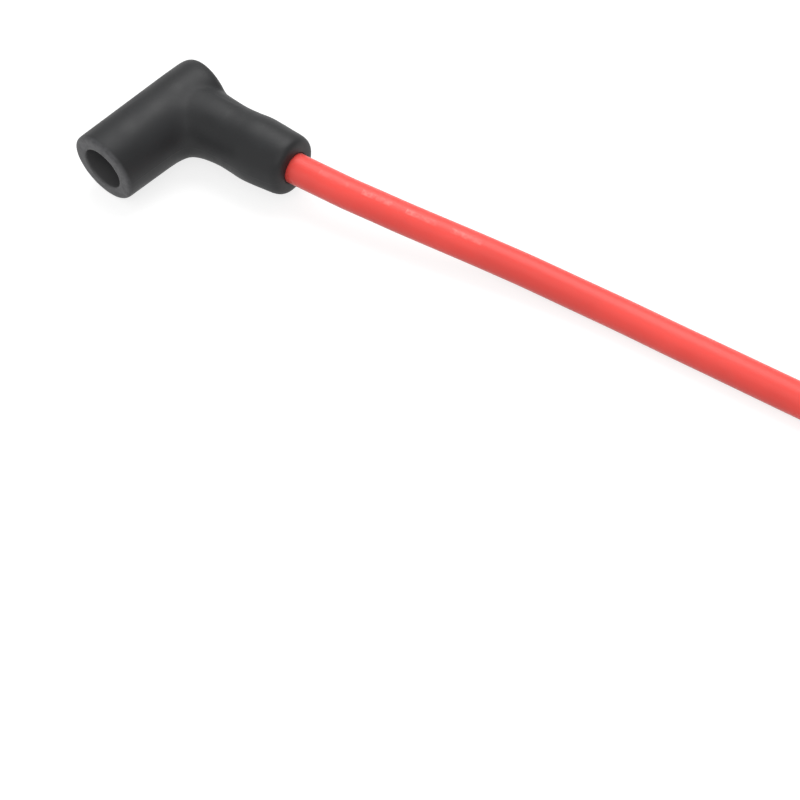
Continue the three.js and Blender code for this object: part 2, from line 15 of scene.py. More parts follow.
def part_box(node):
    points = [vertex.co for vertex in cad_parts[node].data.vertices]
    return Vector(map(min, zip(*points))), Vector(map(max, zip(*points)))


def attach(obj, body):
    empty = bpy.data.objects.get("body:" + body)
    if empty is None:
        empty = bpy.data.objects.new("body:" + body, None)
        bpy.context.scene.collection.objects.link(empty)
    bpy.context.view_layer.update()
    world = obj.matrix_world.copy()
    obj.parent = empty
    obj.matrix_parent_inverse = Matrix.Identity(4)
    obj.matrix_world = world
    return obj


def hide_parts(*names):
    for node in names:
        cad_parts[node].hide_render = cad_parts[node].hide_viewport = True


bl_info = {
    "name": "Ignition lead",
    "version": (1, 0, 0),
    "blender": (4, 5, 0),
    "location": "3D View > Sidebar > Ignition lead",
    "description": "Builds a spark plug lead with its boots, terminals and coiled wire",
    "category": "Object",
}

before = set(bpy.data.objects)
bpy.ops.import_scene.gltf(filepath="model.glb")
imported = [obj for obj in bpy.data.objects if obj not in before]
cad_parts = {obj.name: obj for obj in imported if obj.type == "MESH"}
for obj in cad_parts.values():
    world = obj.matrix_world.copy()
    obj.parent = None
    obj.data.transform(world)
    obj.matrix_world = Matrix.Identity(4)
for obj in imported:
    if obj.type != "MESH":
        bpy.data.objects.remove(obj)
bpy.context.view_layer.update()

MM = 0.001

# Places and sizes of the CAD nodes that the pieces are made round

BOOT_LOW, BOOT_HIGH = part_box("plug_boot")
CAP_LOW, CAP_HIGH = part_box("cap_boot")
COIL_LOW, COIL_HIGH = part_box("wire_coil")
AXIS_HEIGHT = (BOOT_LOW.z + BOOT_HIGH.z) / 2
SOCKET_LENGTH = 27.8 * MM
ELBOW = Vector((BOOT_LOW.x + AXIS_HEIGHT, BOOT_LOW.y + SOCKET_LENGTH, AXIS_HEIGHT))
ARM_LEAN = math.radians(7)
ARM_LENGTH = 36.5 * MM
ARM_ALONG = Vector((math.cos(ARM_LEAN), math.sin(ARM_LEAN), 0))
COIL_CENTRE = Vector(((COIL_LOW.x + COIL_HIGH.x) / 2, (COIL_LOW.y + COIL_HIGH.y) / 2, 0))
CAP_AXIS = Vector((0, (CAP_LOW.y + CAP_HIGH.y) / 2, (CAP_LOW.z + CAP_HIGH.z) / 2))
WIRE_START = 8.25 * MM


# Colour, materials and node trees


def srgb(hex_colour):
    """Turns an sRGB hex value to linear red, green and blue."""
    parts = [int(hex_colour[i : i + 2], 16) / 255 for i in (1, 3, 5)]
    return [c / 12.92 if c <= 0.04045 else ((c + 0.055) / 1.055) ** 2.4 for c in parts]


def add_node(tree, kind, inputs=None, **settings):
    """Adds a node, makes its settings, and links or sets each of its inputs."""
    node = tree.nodes.new(kind)
    for name, value in settings.items():
        setattr(node, name, value)
    for socket, value in (inputs or {}).items():
        if isinstance(value, bpy.types.NodeSocket):
            tree.links.new(value, node.inputs[socket])
        else:
            node.inputs[socket].default_value = value
    return node


def new_tree(name, inputs):
    """Makes a Geometry Nodes tree with named inputs, a material input and a geometry output."""
    tree = bpy.data.node_groups.new(name, "GeometryNodeTree")
    for label, kind in (*inputs, ("Material", "Material")):
        tree.interface.new_socket(label, in_out="INPUT", socket_type="NodeSocket" + kind)
    tree.interface.new_socket("Geometry", in_out="OUTPUT", socket_type="NodeSocketGeometry")
    return tree, add_node(tree, "NodeGroupInput").outputs


def end_tree(tree, geometry, material):
    """Ends a tree with real geometry that has its material."""
    real = add_node(tree, "GeometryNodeRealizeInstances", {"Geometry": geometry})
    values = {"Geometry": real.outputs[0], "Material": material}
    finished = add_node(tree, "GeometryNodeSetMaterial", values)
    add_node(tree, "NodeGroupOutput", {"Geometry": finished.outputs[0]})
    return tree


def end_skin(tree, mesh, name, value, material):
    """Ends a tree with a smooth skin that keeps a vector at each point for its material."""
    values = {"Geometry": mesh, "Name": name, "Value": value}
    stored = add_node(tree, "GeometryNodeStoreNamedAttribute", values, data_type="FLOAT_VECTOR")
    smooth = add_node(tree, "GeometryNodeSetShadeSmooth", {"Geometry": stored.outputs[0]})
    return end_tree(tree, smooth.outputs[0], material)


def new_material(name):
    """Makes a material and clears its node tree."""
    material = bpy.data.materials.new(name)
    material.use_nodes = True
    material.node_tree.nodes.clear()
    return material, material.node_tree


def end_material(material, inputs):
    """Ends a material with its Principled shader and its output."""
    shader = add_node(material.node_tree, "ShaderNodeBsdfPrincipled", inputs)
    values = {"Surface": shader.outputs[0]}
    add_node(material.node_tree, "ShaderNodeOutputMaterial", values)
    return material


def work_out(tree, known, steps):
    """Adds the nodes of a list of steps, and keeps what each one gives under its name.

    A step has a name, a math operation, and operands, which are numbers or known names.
    LENGTH is that of a vector, and PROFILE reads the curve of the right-angle boot's cable arm.
    """
    for name, operation, *operands in steps:
        values = {i: known.get(value, value) for i, value in enumerate(operands)}
        if operation == "PROFILE":
            node = add_node(tree, "ShaderNodeFloatCurve", {"Value": values[0]})
            shape = node.mapping.curves[0].points
            for share, radius in ARM_PROFILE[1:-1]:
                shape.new(share, radius / ARM_PROFILE_SCALE)
            for end in (0, -1):
                share, radius = ARM_PROFILE[end]
                shape[end].location = (share, radius / ARM_PROFILE_SCALE)
            node.mapping.update()
        elif operation == "LENGTH":
            pair = add_node(tree, "ShaderNodeCombineXYZ", values)
            node = add_node(tree, "ShaderNodeVectorMath", {0: pair.outputs[0]}, operation="LENGTH")
        else:
            node = add_node(tree, "ShaderNodeMath", values, operation=operation)
        known[name] = node.outputs["Value"]


def mottled(tree, noise, low, high, colour, dark, light=1.0):
    """Blends a darker and a lighter tint of a colour as a noise goes from low to high."""
    values = {"Value": noise, "From Min": low, "From Max": high}
    share = add_node(tree, "ShaderNodeMapRange", values)
    tints = [(*(min(c * strength, 1) for c in colour), 1) for strength in (dark, light)]
    values = {"Factor": share.outputs[0], "A": tints[0], "B": tints[1]}
    return add_node(tree, "ShaderNodeMix", values, data_type="RGBA").outputs["Result"]


def patches(tree, place, size, detail, limits, shares=(0.0, 1.0)):
    """Gives a share that changes over a real size, as a noise goes between two limits."""
    values = {"Vector": place, "Scale": 1 / size, "Detail": detail}
    noise = add_node(tree, "ShaderNodeTexNoise", values)
    values = {"Value": noise.outputs["Fac"], "From Min": limits[0], "From Max": limits[1]}
    values.update({"To Min": shares[0], "To Max": shares[1]})
    return add_node(tree, "ShaderNodeMapRange", values).outputs[0]


def moulded_rubber(name, colour, parting_height):
    """EPDM rubber, compression moulded: charcoal, semi-matt, with a soft broad sheen.

    It shows faint cloudy bloom, a fine cast grain and the mould's parting line at half its
    height. Its rim at the mouth is paler, a painted highlight broken into scuff-like patches,
    and its bore is painted paler, as painted light inside the hole.
    """
    material, tree = new_material(name)
    place = add_node(tree, "ShaderNodeTexCoord").outputs["Object"]
    stored = add_node(tree, "ShaderNodeAttribute", attribute_name="rim_bore")
    # worn: shares of the painted rim highlight (X) and the bore's painted light (Y)
    worn = add_node(tree, "ShaderNodeSeparateXYZ", {0: stored.outputs["Vector"]}).outputs
    # Bloom is a thin cloudy haze a few millimetres across
    values = {"Vector": place, "Scale": 1 / (9 * MM), "Detail": 3.0, "Roughness": 0.55}
    bloom = add_node(tree, "ShaderNodeTexNoise", values).outputs["Fac"]
    tint = mottled(tree, bloom, 0.32, 0.72, colour, 0.84, 1.18)
    # The rim's painted highlight comes in patches about 1.2 mm long
    rim_patches = patches(tree, place, 1.2 * MM, 3.0, (0.3, 0.6), (0.55, 1.0))
    # Painted highlight on the rim in patches, then painted light on the bore's wall
    rim = add_node(tree, "ShaderNodeMath", {0: worn["X"], 1: rim_patches}, operation="MULTIPLY")
    for share, tone in ((rim.outputs[0], PAINTED_RIM_HIGHLIGHT), (worn["Y"], PAINTED_BORE_LIGHT)):
        values = {"Factor": share, "A": tint, "B": (*tone, 1)}
        tint = add_node(tree, "ShaderNodeMix", values, data_type="RGBA").outputs["Result"]
    values = {"Value": bloom, "From Min": 0.3, "From Max": 0.7, "To Min": 0.48, "To Max": 0.6}
    rough = add_node(tree, "ShaderNodeMapRange", values)
    # The grain of the mould is near 0.1 mm, drawn at 0.35 mm so that it shows
    values = {"Vector": place, "Scale": 1 / (0.35 * MM), "Detail": 2.0, "Roughness": 0.6}
    grain = add_node(tree, "ShaderNodeTexNoise", values)
    height = add_node(tree, "ShaderNodeSeparateXYZ", {0: place}).outputs["Z"]
    known = {"height": height, "parting height": parting_height}
    work_out(tree, known, PARTING_STEPS)
    values = {"Value": known["away"], "From Min": PARTING_REACH, "From Max": 0.0}
    line = add_node(tree, "ShaderNodeMapRange", values, interpolation_type="SMOOTHSTEP")
    values = {0: grain.outputs["Fac"], 1: 0.22, 2: line.outputs[0]}
    relief = add_node(tree, "ShaderNodeMath", values, operation="MULTIPLY_ADD")
    values = {"Height": relief.outputs[0], "Strength": 0.22, "Distance": 0.12 * MM}
    bump = add_node(tree, "ShaderNodeBump", values)
    looks = {"Base Color": tint, "Roughness": rough.outputs[0], "Normal": bump.outputs[0]}
    return end_material(material, {"IOR": 1.52, "Specular IOR Level": 0.41, **looks})


# How far a place on the boot is from the height of the parting line, and the line's reach
PARTING_STEPS = [
    ("off line", "SUBTRACT", "height", "parting height"),
    ("away", "ABSOLUTE", "off line"),
]
PARTING_REACH = 0.22 * MM
# Colours of the painted highlight on the rim and of the painted light in the bore, and how
# far, in millimetres, in from the mouth the highlight starts and is full, and off the bore's
# wall the painted light
PAINTED_RIM_HIGHLIGHT = srgb("#525254")
PAINTED_BORE_LIGHT = srgb("#505051")
RIM_HIGHLIGHT_SPAN = (1.1, 0.1)
BORE_LIGHT_SPAN = (0.7, 0.1)


def extruded_silicone(name, colour, print_colour):
    """Silicone rubber, extruded over the conductor: saturated red with a satin skin.

    The skin has a pale sheen at its edges, faint draw lines along it, and one line of worn
    generic dashes of pale ink.
    """
    material, tree = new_material(name)
    place = add_node(tree, "ShaderNodeTexCoord").outputs["Object"]
    stored = add_node(tree, "ShaderNodeAttribute", attribute_name="along_round")
    parts = add_node(tree, "ShaderNodeSeparateXYZ", {0: stored.outputs["Vector"]}).outputs
    known = {"along": parts["X"], "round": parts["Y"]}
    work_out(tree, known, WIRE_STEPS)
    # Pigment varies a little along the wire, over a couple of centimetres
    values = {"Vector": place, "Scale": 1 / (20 * MM), "Detail": 2.0}
    cloud = add_node(tree, "ShaderNodeTexNoise", values)
    red = mottled(tree, cloud.outputs["Fac"], 0.35, 0.65, colour, 0.92, 1.05)
    # Worn print: runs of four plain dashes, blotched by a noise of 1.2 mm and rubbed fainter
    # in stretches of some 8 mm
    ink = patches(tree, place, 1.2 * MM, 1.0, (0.3, 0.7))
    shares = [patches(tree, place, 8 * MM, 1.0, (0.3, 0.6), (0.0, PRINT_INK))]
    for measure, end, blur in PRINT_EDGES:
        values = {"Value": known[measure], "From Min": end + blur, "From Max": end - blur}
        shares.append(add_node(tree, "ShaderNodeMapRange", values).outputs[0])
    for share in shares:
        both = add_node(tree, "ShaderNodeMath", {0: ink, 1: share}, operation="MULTIPLY")
        ink = both.outputs[0]
    values = {"Factor": ink, "A": red, "B": (*print_colour, 1)}
    skin = add_node(tree, "ShaderNodeMix", values, data_type="RGBA")
    drawn = add_node(tree, "ShaderNodeCombineXYZ", {"X": known["turns"], "Y": known["draws"]})
    values = {"Vector": drawn.outputs[0], "Scale": 1.0, "Detail": 1.0}
    ridges = add_node(tree, "ShaderNodeTexNoise", values)
    values = {"Height": ridges.outputs["Fac"], "Strength": 0.1, "Distance": 0.08 * MM}
    bump = add_node(tree, "ShaderNodeBump", values)
    looks = {
        "Base Color": skin.outputs["Result"],
        "Roughness": 0.4,
        "IOR": 1.43,
        "Subsurface Weight": 0.3,
        "Subsurface Radius": (0.9, 0.25, 0.2),
        "Subsurface Scale": 1.6 * MM,
        "Sheen Weight": 0.22,
        "Sheen Roughness": 0.35,
        "Normal": bump.outputs[0],
    }
    return end_material(material, looks)


# The print: the start, length and distance of its runs along the wire, its dashes, its place
# round the wire and half its width as shares of a turn, and how much of its ink is left
PRINT_START = 36 * MM
PRINT_LENGTH = 44.5 * MM
PRINT_PITCH = 180 * MM
DASH_LENGTH = 8 * MM
DASH_PITCH = 12 * MM
PRINT_TURN = 0.78
PRINT_HALF = 0.0275
PRINT_INK = 0.4
# Where a place is in its run and in its dash, and how far it is round from the line of print.
# The draw lines are 60 shallow ridges round the wire, each far longer than it is wide.
WIRE_STEPS = [
    ("start", "SUBTRACT", "along", PRINT_START),
    ("in run", "WRAP", "start", PRINT_PITCH, 0.0),
    ("in dash", "WRAP", "in run", DASH_PITCH, 0.0),
    ("side", "SUBTRACT", "round", PRINT_TURN),
    ("off print", "ABSOLUTE", "side"),
    ("turns", "MULTIPLY", "round", 60.0),
    ("draws", "MULTIPLY", "along", 40.0),
]
# The edges of the print: which of those measures, where its edge is and how soft
PRINT_EDGES = [
    ("in run", PRINT_LENGTH, 0.5 * MM),
    ("in dash", DASH_LENGTH, 0.4 * MM),
    ("off print", PRINT_HALF, 0.0075),
]


def plated_steel(name, colour, roughness):
    """Spring or strip steel with a bright zinc plate: grey, with rolling marks 0.3 mm apart."""
    material, tree = new_material(name)
    place = add_node(tree, "ShaderNodeTexCoord").outputs["Object"]
    values = {"Vector": place, "Scale": (1 / (0.3 * MM), 1 / (4 * MM), 1 / (0.3 * MM))}
    stretched = add_node(tree, "ShaderNodeMapping", values)
    values = {"Vector": stretched.outputs[0], "Scale": 1.0, "Detail": 2.0}
    marks = add_node(tree, "ShaderNodeTexNoise", values).outputs["Fac"]
    tint = mottled(tree, marks, 0.3, 0.7, colour, 0.8)
    values = {"Height": marks, "Strength": 0.15, "Distance": 0.03 * MM}
    bump = add_node(tree, "ShaderNodeBump", values)
    looks = {"Base Color": tint, "Roughness": roughness, "Normal": bump.outputs[0]}
    return end_material(material, {"Metallic": 1.0, **looks})


def moulded_nylon(name, colour):
    """Nylon 66, injection moulded: near black, satin, with fine moulding texture."""
    material, tree = new_material(name)
    place = add_node(tree, "ShaderNodeTexCoord").outputs["Object"]
    values = {"Vector": place, "Scale": 1 / (0.4 * MM), "Detail": 2.0}
    texture = add_node(tree, "ShaderNodeTexNoise", values).outputs["Fac"]
    tint = mottled(tree, texture, 0.35, 0.65, colour, 0.8)
    values = {"Height": texture, "Strength": 0.12, "Distance": 0.05 * MM}
    bump = add_node(tree, "ShaderNodeBump", values)
    looks = {"Base Color": tint, "Roughness": 0.42, "Normal": bump.outputs[0]}
    return end_material(material, {"IOR": 1.53, **looks})


# Meshes


def link_new(name, data):
    """Makes an object of some data and puts it in the scene."""
    made = bpy.data.objects.new(name, data)
    bpy.context.scene.collection.objects.link(made)
    return made


def new_object(name, vertices, faces, material, smooth=True):
    """Makes a mesh object at the origin from points in metres."""
    mesh = bpy.data.meshes.new(name)
    mesh.from_pydata([tuple(v) for v in vertices], [], faces)
    mesh.materials.append(material)
    if smooth:
        mesh.shade_smooth()
    mesh.update()
    return link_new(name, mesh)


def to_plain_mesh(piece):
    """Turns the evaluated result of a piece's modifiers into its own mesh."""
    evaluated = piece.evaluated_get(bpy.context.evaluated_depsgraph_get())
    mesh = bpy.data.meshes.new_from_object(evaluated)
    mesh.name = piece.name
    piece.modifiers.clear()
    piece.data = mesh
    return piece


def place_mesh(piece, matrix):
    """Moves a piece's mesh to its place, so that its object stays at the origin."""
    piece.data.transform(matrix)
    piece.data.update()
    return piece


def rounded(points, radius, steps=5):
    """Rounds an outline's corners with arcs that keep its tangents.

    The outline is a list of (a, b) points, and an arc takes less than half of each side.
    """
    out = [points[0]]
    for before, corner, after in zip(points, points[1:], points[2:]):
        a, b, c = Vector(before), Vector(corner), Vector(after)
        cut = min(radius, *(side.length * 0.45 for side in (a - b, c - b)))
        start = b + (a - b).normalized() * cut
        end = b + (c - b).normalized() * cut
        for i in range(steps + 1):
            t = i / steps
            out.append(tuple(start * (1 - t) ** 2 + b * 2 * t * (1 - t) + end * t**2))
    out.append(points[-1])
    return out


def revolved(name, outline, sides, material):
    """Turns a closed outline of (radius, height) points round the Z axis to a closed ring."""
    count = len(outline)
    vertices = []
    for i in range(sides):
        turn = 2 * math.pi * i / sides
        for radius, height in outline:
            vertices.append((radius * math.cos(turn), radius * math.sin(turn), height))
    faces = []
    for i in range(sides):
        near, far = i * count, (i + 1) % sides * count
        for j in range(count):
            k = (j + 1) % count
            faces.append((near + j, far + j, far + k, near + k))
    return new_object(name, vertices, faces, material)


# Wire

# The route from the elbow in plan, with its height from the surface, in millimetres
LEAD_ROUTE = [
    (44.5, 5.9, 9.85),
    (51.7, 7.4, 9.5),
    (58.5, 9.2, 9.05),
    (65.2, 11, 8.5),
    (71.8, 12.9, 7.95),
    (78.3, 14.9, 7.3),
    (84.6, 16.8, 6.7),
    (91, 18.7, 6.05),
    (97.5, 20.5, 5.5),
    (110.3, 23.6, 4.55),
    (123.3, 26.3, 4.12),
    (136.2, 28.5, 4.02),
    (149, 30.7, 4.02),
    (162, 32.9, 4.02),
    (176, 35.3, 4.02),
    (190, 37.5, 4.02),
    (205, 39.2, 4.02),
    (220, 40.2, 4.02),
]
# Places along the cable arm in metres, and before the coil's middle and in the straight boot
# in millimetres
PLACES_IN_ARM = (WIRE_START, 20 * MM, 29 * MM, ARM_LENGTH)
PLACES_BEFORE_COIL = (-25, -12)
PLACES_IN_CAP = (0, 13, 27)
# Radii of the coil's turns and of its last bend, the height of the wire's axis at rest, and
# how much the tie lifts it, in millimetres
COIL_RADIUS = 44.0
COIL_INNER = 36.0
TAIL_BEND = 30.0
REST = 4.02
TIE_LIFT = 1.25
# Degrees that the wire has turned: at the tie, to each side of it while the wire is lifted,
# while it winds inwards, where its last bend starts, while it climbs, where it ends, and
# between two points
TIE_TURNS = (90, 450)
TIE_REACH = 15
INWARD_TURNS = (268, 360)
LAST_BEND = 630
CLIMB_TURNS = (545, 722)
COIL_END = 720
COIL_STEP = 15
# Steps between two points of the route, and the distance of the finished line's points
SPAN_STEPS = 24
LINE_STEP = 1.5 * MM


def ease(value, low, high):
    """Goes smoothly from 0 at low to 1 at high."""
    t = min(max((value - low) / (high - low), 0), 1)
    return t * t * (3 - 2 * t)


def coil_point(turned):
    """Gives the wire's place after it has turned clockwise round the coil by some degrees.

    Its last quarter turn is a tighter bend, which climbs over the turns to the cap boot.
    """
    radius = COIL_RADIUS - (COIL_RADIUS - COIL_INNER) * ease(turned, *INWARD_TURNS)
    centre_x = COIL_CENTRE.x / MM
    if turned > LAST_BEND:
        radius = TAIL_BEND
        centre_x -= COIL_INNER - TAIL_BEND
    height = REST + (CAP_AXIS.z / MM - REST) * ease(turned, *CLIMB_TURNS)
    for lifted in TIE_TURNS:
        height += TIE_LIFT * math.exp(-(((turned - lifted) / TIE_REACH) ** 2))
    angle = math.radians(90 - turned)
    x = centre_x + radius * math.cos(angle)
    return x, COIL_CENTRE.y / MM + radius * math.sin(angle), height


def wire_route():
    """Lists the wire's points in the frame, in metres."""
    points = [ELBOW + ARM_ALONG * inside for inside in PLACES_IN_ARM]
    points += [Vector((ELBOW.x + x * MM, ELBOW.y + y * MM, z * MM)) for x, y, z in LEAD_ROUTE]
    entry = COIL_CENTRE.y + COIL_RADIUS * MM
    points += [Vector((COIL_CENTRE.x + x * MM, entry, REST * MM)) for x in PLACES_BEFORE_COIL]
    coil = range(0, COIL_END, COIL_STEP)
    points += [Vector(coil_point(turned)) * MM for turned in coil]
    bend_x = COIL_CENTRE.x - (COIL_INNER - TAIL_BEND) * MM
    in_cap = [CAP_LOW.x + inside * MM for inside in PLACES_IN_CAP]
    points += [Vector((x, CAP_AXIS.y, CAP_AXIS.z)) for x in (bend_x, *in_cap)]
    return points


def smooth_line(points, step):
    """Runs a centripetal Catmull-Rom curve through the points, with a point every step."""
    ends = [points[0] * 2 - points[1], *points, points[-1] * 2 - points[-2]]
    dense = []
    for p0, p1, p2, p3 in zip(ends, ends[1:], ends[2:], ends[3:]):
        t1 = (p1 - p0).length ** 0.5
        t2 = t1 + (p2 - p1).length ** 0.5
        t3 = t2 + (p3 - p2).length ** 0.5
        for i in range(SPAN_STEPS):
            t = t1 + (t2 - t1) * i / SPAN_STEPS
            a1 = p0 * ((t1 - t) / t1) + p1 * (t / t1)
            a2 = p1 * ((t2 - t) / (t2 - t1)) + p2 * ((t - t1) / (t2 - t1))
            a3 = p2 * ((t3 - t) / (t3 - t2)) + p3 * ((t - t2) / (t3 - t2))
            b1 = a1 * ((t2 - t) / t2) + a2 * (t / t2)
            b2 = a2 * ((t3 - t) / (t3 - t1)) + a3 * ((t - t1) / (t3 - t1))
            dense.append(b1 * ((t2 - t) / (t2 - t1)) + b2 * ((t - t1) / (t2 - t1)))
    dense.append(points[-1])
    lengths = [0]
    for a, b in zip(dense, dense[1:]):
        lengths.append(lengths[-1] + (b - a).length)
    count = round(lengths[-1] / step)
    line = []
    at = 0
    for i in range(count + 1):
        wanted = lengths[-1] * i / count
        while at < len(lengths) - 2 and lengths[at + 1] < wanted:
            at += 1
        share = (wanted - lengths[at]) / (lengths[at + 1] - lengths[at])
        line.append(dense[at].lerp(dense[at + 1], share))
    return line, lengths[-1]


def wire_tree():
    """Builds the node tree that sweeps a round section along the wire's centre line."""
    inputs = [("Geometry", "Geometry"), ("Radius", "Float"), ("Sides", "Int")]
    tree, given = new_tree("wire_sweep", inputs)
    values = {"Resolution": given["Sides"], "Radius": given["Radius"]}
    section = add_node(tree, "GeometryNodeCurvePrimitiveCircle", values).outputs[0]
    curves = {"along": (given["Geometry"], "Length"), "around": (section, "Factor")}
    marked = []
    for name, (curve, measure) in curves.items():
        place = add_node(tree, "GeometryNodeSplineParameter").outputs[measure]
        values = {"Geometry": curve, "Name": name, "Value": place}
        stored = add_node(tree, "GeometryNodeStoreNamedAttribute", values, data_type="FLOAT")
        marked.append(stored.outputs[0])
    values = {"Curve": marked[0], "Profile Curve": marked[1], "Fill Caps": True}
    swept = add_node(tree, "GeometryNodeCurveToMesh", values)
    both = add_node(tree, "ShaderNodeCombineXYZ")
    for axis, name in enumerate(curves):
        values = {"Name": name}
        read = add_node(tree, "GeometryNodeInputNamedAttribute", values, data_type="FLOAT")
        tree.links.new(read.outputs[0], both.inputs[axis])
    return end_skin(tree, swept.outputs[0], "along_round", both.outputs[0], given["Material"])


def use_tree(piece, tree, values):
    """Puts a node tree on a piece, with its inputs set by name through their identifiers."""
    modifier = piece.modifiers.new(tree.name, "NODES")
    modifier.node_group = tree
    for socket in tree.interface.items_tree:
        if socket.in_out == "INPUT" and socket.name in values:
            modifier[socket.identifier] = values[socket.name]
    return piece


def make_wire(settings, material):
    """Makes the whole wire as one tube along one smooth line."""
    line, length = smooth_line(wire_route(), LINE_STEP)
    curve = bpy.data.curves.new("wire", "CURVE")
    curve.dimensions = "3D"
    spline = curve.splines.new("POLY")
    spline.points.add(len(line) - 1)
    for point, place in zip(spline.points, line):
        point.co = (*place, 1)
    wire = link_new("wire", curve)
    values = {"Radius": settings.diameter / 2, "Sides": settings.sides, "Material": material}
    use_tree(wire, wire_tree(), values)
    evaluated = wire.evaluated_get(bpy.context.evaluated_depsgraph_get())
    mesh = bpy.data.meshes.new_from_object(evaluated)
    bpy.data.objects.remove(wire)
    return link_new("wire", mesh), line, length


# Right-angle boot

# Radius of the cable arm in millimetres against its share of the arm's length
ARM_PROFILE_SCALE = 10.0
ARM_PROFILE = [
    (0.0, 8.8),
    (0.2, 8.75),
    (0.33, 8.4),
    (0.46, 8.15),
    (0.57, 8.32),
    (0.67, 8.6),
    (0.76, 8.48),
    (0.86, 8.2),
    (1.0, 7.9),
]


def boot_tree():
    """Builds the node tree of the right-angle boot.

    The boot is the zero level of a distance field: two round arms and a moulded bend are
    blended together, and the bores are taken out of them.
    """
    tree, given = new_tree("boot_body", [(name, "Float") for name in BOOT_INPUTS])
    place = add_node(tree, "GeometryNodeInputPosition").outputs[0]
    xyz = add_node(tree, "ShaderNodeSeparateXYZ", {0: place}).outputs
    known = {name: given[name] for name in BOOT_INPUTS}
    known.update(x=xyz["X"], y=xyz["Y"], z=xyz["Z"])
    work_out(tree, known, BOOT_STEPS)
    values = {"Density": known["density"], "Background": -1.0}
    values.update({"Min": BOOT_FIELD_LOW, "Max": BOOT_FIELD_HIGH})
    values.update({f"Resolution {axis}": known[f"cells {axis}"] for axis in "XYZ"})
    cube = add_node(tree, "GeometryNodeVolumeCube", values)
    values = {"Volume": cube.outputs[0], "Threshold": 0.0}
    surface = add_node(tree, "GeometryNodeVolumeToMesh", values, resolution_mode="GRID")
    # Where the rim and the bore's wall are, for the painted highlight on the rim and the
    # painted light in the bore
    rim = [-inward for inward in RIM_HIGHLIGHT_SPAN]
    both = add_node(tree, "ShaderNodeCombineXYZ")
    for axis, (step, (none, full)) in enumerate((("mouth", rim), ("bores painted pale", BORE_LIGHT_SPAN))):
        values = {"Value": known[step], "From Min": none * MM, "From Max": full * MM}
        share = add_node(tree, "ShaderNodeMapRange", values)
        tree.links.new(share.outputs[0], both.inputs[axis])
    return end_skin(tree, surface.outputs[0], "rim_bore", both.outputs[0], given["Material"])


# Sizes of the right-angle boot, which are the inputs of its node tree
BOOT_INPUTS = {
    "Socket length": SOCKET_LENGTH,
    "Socket back": 9.8 * MM,
    "Mouth radius": 9.42 * MM,
    "Socket radius": 9.85 * MM,
    "Arm length": ARM_LENGTH,
    "Arm lean": ARM_LEAN,
    "Bend radius": 17 * MM,
    "Bend start radius": 8.3 * MM,
    "Bend end radius": 7.3 * MM,
    "Bend swell": 2.0 * MM,
    "Plug bore": 5.72 * MM,
    "Plug bore depth": 14 * MM,
    "Terminal bore": 5.45 * MM,
    "Crimp bore depth": 18.5 * MM,
    "Wire bore": 4.0 * MM,
    "Voxel": 0.3 * MM,
}
BOOT_FIELD_LOW = (-11.5 * MM, -30.5 * MM, -11.5 * MM)
BOOT_FIELD_HIGH = (39.5 * MM, 14.5 * MM, 11.5 * MM)

